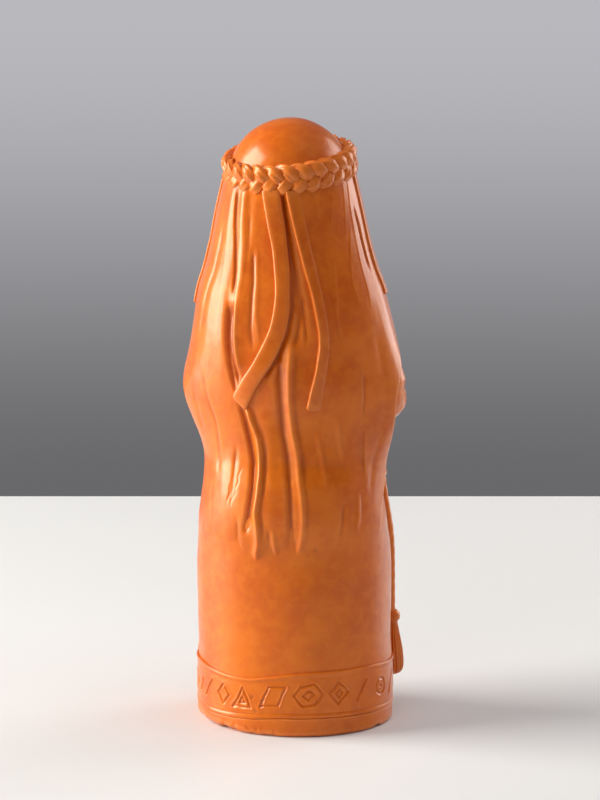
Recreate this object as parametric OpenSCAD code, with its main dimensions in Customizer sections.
// Standing goddess figurine: a woman in a long dress, with a plaited circlet,
// a mantle of loose hair, ribbons, and a hip cord with two tassels.
// Millimetres, +Z up. The origin is the centre of the underside. She faces -Y,
// and her left is +X. Places are given on a figure of the nominal height.

/* [Figure] */
// Height from the underside to the crown
height = 150; // [120:1:180]
// Sideways lean of the head
head_lean = 1.3; // [0:0.1:2]

/* [Dress] */
// Depth of the belly in front of the middle plane
belly_depth = 24.2; // [21:0.2:26]
// Height of the foot plinth
plinth_h = 4.4; // [3:0.2:4.8]
// Top of the raised hem band
hem_top = 15.5; // [12:0.5:17]
// How far the hem band stands out from the dress
hem_proud = 0.7; // [0.4:0.1:1]

/* [Hair] */
// Height at which the tips of the hair end
hair_end = 45; // [42:1:52]
// Swell of the hair over each elbow
elbow_swell = 3; // [2:0.2:3.4]

/* [Circlet and ribbons] */
// Radius of one plaited strand
strand_r = 1.35; // [1.1:0.05:1.6]
// Number of times that the plait repeats round the head
plait_repeats = 9; // [8:1:13]
// Width of a ribbon
ribbon_w = 4.3; // [3.4:0.1:5]
// Thickness of a ribbon above the hair
ribbon_t = 0.9; // [0.6:0.1:1.2]

/* [Cord and tassels] */
// Diameter of the waist cord and the hanging cords
cord_d = 2.4; // [1.8:0.1:2.8]
// Widest diameter of a tassel
tassel_d = 5.8; // [5:0.2:6.4]
// Lowest point of a tassel
tassel_end = 9; // [8:0.5:12]

/* [Hidden] */
NOMINAL = 150;

LEFT = 1;
RIGHT = -1;
CLAY = [0.86, 0.42, 0.16];
CLAY_LIGHT = [0.92, 0.5, 0.22];
CLAY_DARK = [0.74, 0.32, 0.1];

BODY_SIDES = 40;
HEAD_SIDES = 36;
TUBE_SIDES = 8;
KNOB_SIDES = 14;
SLEEVE_SIDES = 16;
LOCK_SIDES = 12;
TASSEL_SIDES = 24;
COLLAR_SIDES = 36;
PLINTH_SIDES = 72;

// Half width and half depth of the plinth and of the dress under the hem band,
// and the open height between the two
PLINTH = [24.3, 21.7];
HEM_CORE = [24.2, 21.2];
GROOVE = 0.4;

// Dress: height, half width, depth behind and depth in front of the middle plane
DRESS = [
    [plinth_h, 24, 21.2, 21.3], [15, 24.2, 21.2, 21.2], [30, 24.4, 20.6, 20.8],
    [45, 24.1, 19.8, 21], [58, 21.6, 18.4, 22.3], [66, 20.2, 16.4, belly_depth - 0.6],
    [74, 19.6, 15.2, belly_depth], [82, 19, 14.6, belly_depth - 1.6],
    [90, 18.6, 14.6, 18.6], [97, 18.4, 15, 16.6], [103, 18, 15, 16],
    [108, 16.3, 13.4, 13], [111.5, 12, 10, 10], [113.5, 7, 7, 7.4]
];

// Head and neck, in the same columns
HEAD = [
    [113.5, 6.2, 6.4, 6.6], [116, 6.2, 6.8, 8],
    [118, 6.8, 7.6, 11.2], [119.5, 7.8, 8.6, 12.4],
    [122, 9.4, 10.6, 12.8], [126, 11.2, 12.6, 13], [130, 12.3, 13.6, 13],
    [134, 13.2, 14, 13.4], [138, 13.4, 13.8, 13.6], [142, 12.2, 12.2, 12.2],
    [146, 9, 9, 9], [148.6, 3, 3, 3]
];

// Hair mantle: the outside, in the same columns, then the angles of its front edges,
// on her left and on her right
HAIR = [
    [hair_end, 24.5, 20.3, 20.3, 84, 68], [50, 24.2, 20.9, 20.9, 86, 69],
    [56, 23.4, 21.2, 21.2, 88, 75], [62, 22.6, 20.6, 20.6, 90, 84],
    [68, 22.3, 18.9, 18.9, 91, 84], [76, 23.4, 18.8, 18.8, 90, 77],
    [84, 24.4, 19.6, 19.6, 90, 75], [92, 24.6, 20, 20, 92, 86],
    [100, 24.3, 19.6, 18, 95, 95], [108, 23, 18.6, 16, 104, 104],
    [114, 21.3, 17.8, 15, 116, 116], [120, 19.7, 17, 14.6, 123, 123],
    [126, 18.6, 16.2, 14.5, 124, 124], [132, 17.2, 15.6, 14.5, 121, 121],
    [138, 15.6, 14.9, 14.4, 114, 114]
];

// Crown dome and the tilted plane of the circlet
CROWN_CENTRE = 134.3;
CROWN_R = [15.3, 15.6, NOMINAL - CROWN_CENTRE];
CIRCLET_Z = 138.7;
CIRCLET_TILT = 9;
CIRCLET_ROLL = 4;
CIRCLET_R = [14.8, 15.2];
PLAIT_RISE = 2;
PLAIT_BOW = 0.75;
PLAIT_RINGS = 8;

// Back ribbons: height, angle from the back towards her left, half width in ribbon widths
RIBBON_LEFT = [
    [82.5, 27, 0.45], [87, 20, 0.45], [92, 12, 0.45], [97, 5.5, 0.48], [102, 1, 0.48],
    [108, -1.5, 0.45], [115, -1.5, 0.45], [122, 1, 0.47], [134, 8.5, 0.5]
];
RIBBON_RIGHT = [
    [81.5, -17.5, 0.48], [86, -19.5, 0.45], [92, -22.5, 0.4], [98, -24.5, 0.37], [106, -23, 0.37],
    [115, -20, 0.38], [122, -16, 0.4], [134, -9.5, 0.4]
];
// Side ribbons: height of the lower end, and the angle from the back
SIDE_END_LEFT = 104.5;
SIDE_END_RIGHT = 107.5;
SIDE_ANGLE = 91;
// How deep every ribbon reaches into the hair, and the rows of points along it
RIBBON_SINK = 0.7;
BACK_ROWS = 15;
SIDE_ROWS = 12;

// Arm, on her left: x, y, z and the sleeve's radius
ARM = [
    [13.5, -0.5, 107, 5.6], [16.6, -0.4, 101, 5.8],
    [19.4, -0.2, 94, 5.4], [21.4, 0, 88, 5.1],
    [22.2, -0.8, 82.6, 5.1], [21.4, -5.2, 79.4, 4.9],
    [19.4, -10.6, 78.4, 4.6], [16.6, -15.6, 77.8, 4.4],
    [13.6, -19.4, 77.2, 4.6]
];
WRIST = [[14.6, -18.2, 77.4, 4.8], [12.7, -20.4, 77, 5]];
CUFF_SWELL = 0.5;
// Hand: angle round the belly, height, stand-off and radius of each ball that shapes it
PALM = [
    [142, 77, 1.8, 2.3], [149, 79.4, 1.5, 1.9], [158, 79.2, 1.2, 1.4], [158, 74.4, 1.2, 1.35]
];
FINGER_ROOTS = [
    [158, 79.5, 1.2, 1.1], [160, 77.7, 1.3, 1.15], [160, 75.9, 1.2, 1.1], [158, 74.3, 1.1, 1]
];
FINGER_TIPS = [
    [174, 79, 1, 0.8], [177.5, 77.4, 1, 0.85], [176.5, 75.7, 1, 0.82], [171, 74.1, 0.9, 0.75]
];
THUMB = [[148, 80.6, 1.7, 1.3], [159, 83.6, 1.2, 0.9]];
BALL_SIDES = 10;

// Waist cord: height behind, height in front, and the number of rings
WAIST_BACK = 66;
WAIST_FRONT = 59.5;
WAIST_RINGS = 44;
KNOT_R = 2;
// Hanging cord: height, angle on her left, angle on her right, and stand-off
CORD_DROP = [
    [24, 115, 115, 1], [32, 111, 115, 0.9], [42, 106, 115, 0.8],
    [52, 102, 115, 0.85], [61.5, 100, 115, 1.2]
];
TASSEL_HEAD_Z = 23.8;
TASSEL_HEAD_R = 1.9;
TASSEL_OFF = 1.6;

// Lock of hair on the chest, on her left: x, y, z, half width and half thickness
LOCK = [
    [13.8, -7, 127, 2.2, 1.8], [14.2, -8.6, 119, 3, 2.2], [14, -10.6, 111, 3.6, 2.4],
    [13, -13, 104, 3.8, 2.2], [11.6, -15, 97, 3.4, 1.9],
    [10.4, -17.4, 91, 2.3, 1.5], [9.8, -19.2, 87, 1, 0.9]
];
COLLAR_Z = 112.6;
COLLAR_R = 7.6;
COLLAR_T = 1.2;

// ---- Functions ----

function unit(v) = v / norm(v);
function smooth(u) = let(t = min(max(u, 0), 1)) t * t * (3 - 2 * t);
function bell(u) = exp(-u * u);

// How far the figure leans to her left at height z
function lean(z) = head_lean * smooth((z - 70) / 60);

// Column c of a table at height z, on a smooth curve through the rows
function row(t, z, i = 0) = (i >= len(t) - 2 || z < t[i + 1][0]) ? i : row(t, z, i + 1);
function slope(t, i, c) =
    let(a = max(i - 1, 0), b = min(i + 1, len(t) - 1)) (t[b][c] - t[a][c]) / (t[b][0] - t[a][0]);
function at(t, z, c) =
    let(i = row(t, z), h = t[i + 1][0] - t[i][0], u = (z - t[i][0]) / h)
    (2 * u ^ 3 - 3 * u ^ 2 + 1) * t[i][c] + (u ^ 3 - 2 * u ^ 2 + u) * h * slope(t, i, c)
    + (3 * u ^ 2 - 2 * u ^ 3) * t[i + 1][c] + (u ^ 3 - u ^ 2) * h * slope(t, i + 1, c);

// Point of a rounded body at height z and angle a, measured from the back
// towards her left, at stand-off d
function around(t, z, a, d = 0) = [
    lean(z) + (at(t, z, 1) + d) * sin(a),
    (at(t, z, cos(a) > 0 ? 2 : 3) + d) * cos(a),
    z
];
function on_dress(z, a, d) = around(DRESS, z, a, d);
function on_hair(z, a, d) =
    around(HAIR, z, a, d + elbow_swell * bell((abs(a) - 85) / 24) * bell((z - 83) / 8.5));
// Height of the waist cord at angle a, and how far round a hanging cord lies at height z
function waist_z(a) = WAIST_FRONT + (WAIST_BACK - WAIST_FRONT) * smooth((1 + cos(a)) / 2);
function cord_angle(z, side) = at(CORD_DROP, z, side == LEFT ? 1 : 2);
// Ribbon table of a side ribbon that ends at height z
function side_ribbon(z, side) = [
    [z, side * SIDE_ANGLE, 0.5], [z + 8, side * SIDE_ANGLE, 0.5], [137, side * (SIDE_ANGLE - 1), 0.42]
];
function steps(from, to, n) = [for (i = [0:n]) from + (to - from) * i / n];

// How far the face stands out at x from its middle line and height z
function face(x, z) =
    2.5 * bell(x / (0.9 + 0.09 * (132.5 - z))) * smooth((133 - z) / 6) * smooth((z - 125.6) / 1.2)
    - 0.9 * bell((abs(x) - 4.5) / 2.3) * bell((z - 131) / 1.7)
    + 0.45 * bell((abs(x) - 4.5) / 1.7) * bell((z - 131) / 0.9)
    + 0.5 * bell((abs(x) - 4.3) / 3) * bell((z - 133.8) / 0.9)
    + 0.7 * bell(x / 2.6) * bell((z - 123.6) / 0.9)
    + 0.8 * bell(x / 2.8) * bell((z - 119.6) / 1.4);

// Ring of a tube: centre p, tangent t, outward direction n, half width w, half depth d
function ring(p, t, n, w, d, sides) =
    let(out = unit(n - t * (n * t)), side = cross(t, out))
    [for (i = [0:sides - 1]) p + w * cos(360 * i / sides) * side + d * sin(360 * i / sides) * out];
function tangent(p, i, loop) =
    let(n = len(p), a = loop ? (i + n - 1) % n : max(i - 1, 0), b = loop ? (i + 1) % n : min(i + 1, n - 1))
    unit(p[b] - p[a]);

// ---- Shapes ----

// Closed surface through rings of points, each clockwise seen from the next ring
module skin(rings, loop = false) {
    n = len(rings[0]);
    last = len(rings) - 1;
    walls = [
        for (i = [0:loop ? last : last - 1], j = [0:n - 1])
            let(k = (i + 1) % len(rings), a = i * n + j, b = i * n + (j + 1) % n,
                c = k * n + (j + 1) % n, d = k * n + j)
            each [[a, b, c], [a, c, d]]
    ];
    ends = loop ? [] : [[for (j = [n - 1:-1:0]) j], [for (j = [0:n - 1]) last * n + j]];
    polyhedron([for (r = rings) each r], concat(walls, ends));
}

// Tube along a path: n is the outward direction at each point, w and d its half sizes
module tube(path, n, w, d, sides = TUBE_SIDES, loop = false) {
    skin([for (i = [0:len(path) - 1]) ring(path[i], tangent(path, i, loop), n[i], w[i], d[i], sides)], loop);
}

// A subtree that is worked out as one triangle mesh
module meshed() {
    resize([0, 0, 0]) children();
}

module sized(tint) {
    color(tint) scale(height / NOMINAL) children();
}

module on_side(side) {
    mirror([side == RIGHT ? 1 : 0, 0, 0]) children();
}

// Ellipse slab with straight walls
module oval(w, depth, h) {
    linear_extrude(h) polygon([
        for (i = [0:PLINTH_SIDES - 1]) [w * sin(360 * i / PLINTH_SIDES), depth * cos(360 * i / PLINTH_SIDES)]
    ]);
}

// ---- Solids, before they are trimmed against each other ----

module dress_shape() {
    levels = concat([plinth_h], steps(10, 105, 20), [107.5, 109.5, 111.2, 112.4, 113.5]);
    skin([for (z = levels) [for (i = [0:BODY_SIDES - 1]) on_dress(z, 360 * i / BODY_SIDES, 0)]]);
}

module head_shape() {
    levels = concat([113.5, 115.5], steps(117.2, 136, 17), [138, 140, 142, 144, 146, 147.6, 148.6]);
    front_bias = 35;
    skin([
        for (z = levels) [
            for (i = [0:HEAD_SIDES - 1])
                let(u = 360 * i / HEAD_SIDES, a = u + front_bias * sin(u), p = around(HEAD, z, a))
                p - [0, cos(a) < 0 ? face(p[0] - lean(z), z) : 0, 0]
        ]
    ]);
}

module hair_shape() {
    columns = 32;
    rows = 28;
    skin([
        for (z = steps(hair_end, 138, rows))
            let(outside = [for (a = steps(-at(HAIR, z, 5), at(HAIR, z, 4), columns)) on_hair(z, a, 0)])
            concat(outside, [[lean(z), 0, z]])
    ]);
}

module arm_shape() {
    path = [for (p = ARM) [p[0], p[1], p[2]]];
    radii = [for (p = ARM) p[3]];
    tube(path, [for (p = ARM) [1, 0, 0.2]], radii, radii, SLEEVE_SIDES);
}

module sleeve_shape(side) {
    on_side(side) translate([side * lean(100), 0, 0]) arm_shape();
}

module waist_shape() {
    turns = [for (i = [0:WAIST_RINGS - 1]) 360 * i / WAIST_RINGS];
    path = [for (a = turns) on_dress(waist_z(a), a, 0.8)];
    r = [for (a = turns) cord_d / 2];
    tube(path, [for (a = turns) [sin(a), cos(a), 0]], r, r, TUBE_SIDES, true);
}

module hem_shape() {
    bottom = plinth_h + GROOVE;
    translate([0, 0, bottom])
        oval(HEM_CORE[0] + hem_proud, HEM_CORE[1] + hem_proud, hem_top - bottom);
}

// Everything under the middle plane of the circlet
module under_circlet() {
    translate([lean(NOMINAL), 0, CIRCLET_Z]) rotate([-CIRCLET_TILT, CIRCLET_ROLL, 0])
        translate([-NOMINAL / 2, -NOMINAL / 2, -NOMINAL]) cube(NOMINAL);
}

// Hair without what it lies on
module hair_solid() {
    difference() {
        hair_shape();
        dress_shape();
        head_shape();
        sleeve_shape(LEFT);
        sleeve_shape(RIGHT);
        waist_shape();
    }
}

// ---- Sub-parts ----

module foot_plinth() sized(CLAY_DARK) oval(PLINTH[0], PLINTH[1], plinth_h);

module hem_band() sized(CLAY_LIGHT) meshed() difference() {
    hem_shape();
    dress_shape();
}

module dress_core() sized(CLAY) dress_shape();

module head() sized(CLAY_LIGHT) head_shape();

module crown_cap() sized(CLAY) meshed() difference() {
    rows = steps(-10, 88, 11);
    skin([
        for (v = rows) [
            for (i = [0:HEAD_SIDES - 1])
                let(a = 360 * i / HEAD_SIDES)
                [lean(NOMINAL) + CROWN_R[0] * cos(v) * sin(a), CROWN_R[1] * cos(v) * cos(a),
                 CROWN_CENTRE + CROWN_R[2] * sin(v)]
        ]
    ]);
    under_circlet();
    head_shape();
}

module hair_mantle() sized(CLAY_DARK) meshed() hair_solid();

// One strand of the plait: a closed loop that weaves up, down, in and out
module circlet_strand(k) sized(CLAY_LIGHT) {
    rings = plait_repeats * PLAIT_RINGS;
    turns = [for (i = [0:rings - 1]) 360 * i / rings];
    path = [
        for (a = turns)
            let(t = plait_repeats * a + 120 * k, r = PLAIT_BOW * sin(2 * t))
            [(CIRCLET_R[0] + r) * sin(a), (CIRCLET_R[1] + r) * cos(a), PLAIT_RISE * sin(t)]
    ];
    r = [for (a = turns) strand_r];
    translate([lean(NOMINAL), 0, CIRCLET_Z]) rotate([-CIRCLET_TILT, CIRCLET_ROLL, 0])
        tube(path, [for (a = turns) [sin(a), cos(a), 0]], r, r * 0.85, 6, true);
}

// Flat ribbon on the hair, through the rows of a table
module ribbon(table, rows) sized(CLAY_LIGHT) meshed() difference() {
    bottom = table[0][0];
    top = table[len(table) - 1][0];
    levels = steps(bottom, top, rows);
    path = [for (z = levels) on_hair(z, at(table, z, 1), 0)];
    skin([
        for (i = [0:rows])
            let(a = at(table, levels[i], 1), w = at(table, levels[i], 2) * ribbon_w,
                t = tangent(path, i, false), n = [sin(a), cos(a), 0],
                out = unit(n - t * (n * t)), side = cross(t, out))
            [
                for (q = [[w, -RIBBON_SINK], [w, 0.7 * ribbon_t], [0.7 * w, ribbon_t],
                          [-0.7 * w, ribbon_t], [-w, 0.7 * ribbon_t], [-w, -RIBBON_SINK]])
                    path[i] + q[0] * side + q[1] * out
            ]
    ]);
    hair_solid();
}

module sleeve(side) sized(CLAY) meshed() difference() {
    sleeve_shape(side);
    dress_shape();
}

module cuff_shape(side) {
    path = [for (p = WRIST) [p[0], p[1], p[2]]];
    radii = [for (p = WRIST) p[3] + CUFF_SWELL];
    on_side(side) translate([side * lean(100), 0, 0])
        tube(path, [for (p = WRIST) [1, 0, 0.2]], radii, radii, SLEEVE_SIDES);
}

module cuff(side) sized(CLAY_LIGHT) meshed() difference() {
    cuff_shape(side);
    sleeve_shape(side);
    dress_shape();
}

// Ball of a hand: p is angle, height, stand-off and radius
module ball(p) {
    translate(on_dress(p[1], p[0], p[2]) - [lean(p[1]), 0, 0]) sphere(p[3], $fn = BALL_SIDES);
}

module hand(side) sized(CLAY_LIGHT) meshed() difference() {
    on_side(side) translate([side * lean(77), 0, 0]) {
        hull() for (p = PALM) ball(p);
        for (i = [0:3]) hull() {
            ball(FINGER_ROOTS[i]);
            ball(FINGER_TIPS[i]);
        }
        hull() for (p = THUMB) ball(p);
    }
    dress_shape();
    sleeve_shape(side);
    cuff_shape(side);
}

module waist_cord() sized(CLAY_LIGHT) meshed() difference() {
    waist_shape();
    dress_shape();
}

// Place of the knot on the waist cord
function knot_at(side) =
    let(a = side * cord_angle(CORD_DROP[4][0], side)) on_dress(waist_z(a), a, 1.2);

module cord_knot(side) sized(CLAY_LIGHT) meshed() difference() {
    translate(knot_at(side)) sphere(KNOT_R, $fn = KNOB_SIDES);
    dress_shape();
    waist_shape();
}

module hanging_cord(side) sized(CLAY_LIGHT) meshed() difference() {
    drops = 12;
    levels = steps(CORD_DROP[0][0], CORD_DROP[4][0], drops);
    turns = [for (z = levels) side * cord_angle(z, side)];
    path = [for (i = [0:drops]) on_dress(levels[i], turns[i], at(CORD_DROP, levels[i], 3))];
    r = [for (z = levels) cord_d / 2];
    tube(path, [for (a = turns) [sin(a), cos(a), 0]], r, r);
    dress_shape();
    waist_shape();
    translate(knot_at(side)) sphere(KNOT_R, $fn = KNOB_SIDES);
    tassel_head_shape(side);
}

function tassel_axis(side) =
    on_dress(TASSEL_HEAD_Z, side * cord_angle(CORD_DROP[0][0], side), TASSEL_OFF);

module tassel_head_shape(side) {
    translate(tassel_axis(side)) sphere(TASSEL_HEAD_R, $fn = KNOB_SIDES);
}

module tassel_head(side) sized(CLAY_LIGHT) meshed() difference() {
    tassel_head_shape(side);
    dress_shape();
}

module tassel_skirt(side) sized(CLAY) meshed() difference() {
    axis = tassel_axis(side);
    top = TASSEL_HEAD_Z - 1;
    translate([axis[0], axis[1], 0]) rotate_extrude($fn = TASSEL_SIDES) polygon([
        [0, tassel_end], [tassel_d / 2, tassel_end], [tassel_d / 2 - 0.1, tassel_end + 3],
        [tassel_d / 2 - 0.7, (top + tassel_end) / 2 + 2], [1.3, top], [0, top]
    ]);
    tassel_head_shape(side);
    dress_shape();
    hem_shape();
}

module neck_band() sized(CLAY_LIGHT) meshed() difference() {
    translate([lean(COLLAR_Z), 0, COLLAR_Z]) rotate_extrude($fn = COLLAR_SIDES)
        translate([COLLAR_R, 0]) circle(COLLAR_T, $fn = BALL_SIDES);
    dress_shape();
    head_shape();
    hair_shape();
}

module front_lock(side) sized(CLAY_DARK) meshed() difference() {
    on_side(side) translate([side * lean(105), 0, 0]) tube(
        [for (p = LOCK) [p[0], p[1], p[2]]], [for (p = LOCK) [0.35, -1, 0]],
        [for (p = LOCK) p[3]], [for (p = LOCK) p[4]], LOCK_SIDES
    );
    dress_shape();
    head_shape();
    hair_shape();
    sleeve_shape(side);
}

foot_plinth();
hem_band();
dress_core();
head();
crown_cap();
hair_mantle();
circlet_strand(0);  // circlet_strand_1
circlet_strand(1);  // circlet_strand_2
circlet_strand(2);  // circlet_strand_3
ribbon(RIBBON_LEFT, BACK_ROWS);  // back_ribbon_left
ribbon(RIBBON_RIGHT, BACK_ROWS);  // back_ribbon_right
ribbon(side_ribbon(SIDE_END_LEFT, LEFT), SIDE_ROWS);  // side_ribbon_left
ribbon(side_ribbon(SIDE_END_RIGHT, RIGHT), SIDE_ROWS);  // side_ribbon_right
sleeve(LEFT);  // sleeve_left
sleeve(RIGHT);  // sleeve_right
cuff(LEFT);  // cuff_left
cuff(RIGHT);  // cuff_right
hand(LEFT);  // hand_left
hand(RIGHT);  // hand_right
waist_cord();
cord_knot(LEFT);  // cord_knot_left
cord_knot(RIGHT);  // cord_knot_right
hanging_cord(LEFT);  // hanging_cord_left
hanging_cord(RIGHT);  // hanging_cord_right
tassel_head(LEFT);  // tassel_head_left
tassel_head(RIGHT);  // tassel_head_right
tassel_skirt(LEFT);  // tassel_skirt_left
tassel_skirt(RIGHT);  // tassel_skirt_right
neck_band();
front_lock(LEFT);  // front_lock_left
front_lock(RIGHT);  // front_lock_right
